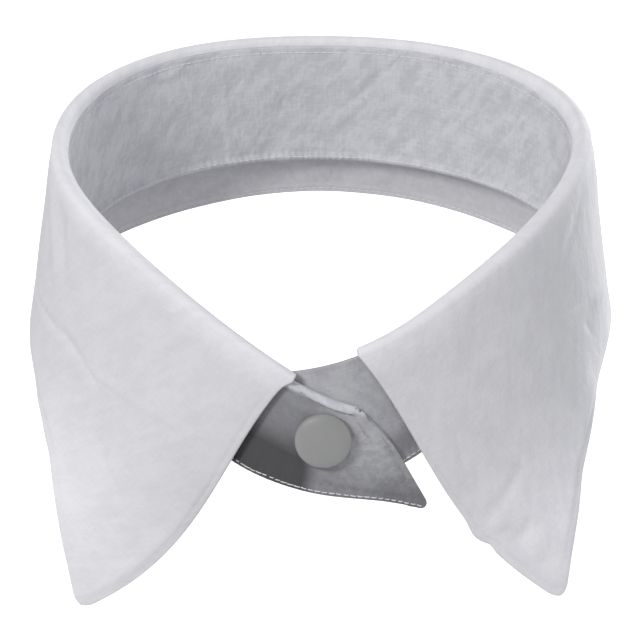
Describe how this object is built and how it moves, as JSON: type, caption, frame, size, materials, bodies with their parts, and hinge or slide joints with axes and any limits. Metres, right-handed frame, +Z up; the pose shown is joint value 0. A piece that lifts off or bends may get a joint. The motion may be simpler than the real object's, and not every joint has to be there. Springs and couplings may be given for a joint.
{
  "type": "detachable shirt collar",
  "caption": "Detachable cotton shirt collar in its buttoned, worn form: a standing band with a leaf folded over it and two front points.",
  "frame": {"origin": "middle of the neck, level with the band's lower edge at centre back, where a wearer's neck holds the collar up", "axes": "+Z up along the neck, -Y towards the buttoned front, +X towards the underlap's side, which is the viewer's right"},
  "size_m": [0.1424, 0.1398, 0.099],
  "materials": {
    "leaf_cotton": "white plain-weave shirting with a faint lavender cast, matt, edge-stitched",
    "band_cotton": "the same white plain-weave shirting, matt, lightly creased from washing",
    "button_plastic": "smooth pale grey plastic, softly glossy low dome"
  },
  "bodies": {
    "root": {"collar_leaf": "leaf_cotton", "collar_band": "band_cotton", "button": "button_plastic"}
  },
  "joints": []
}
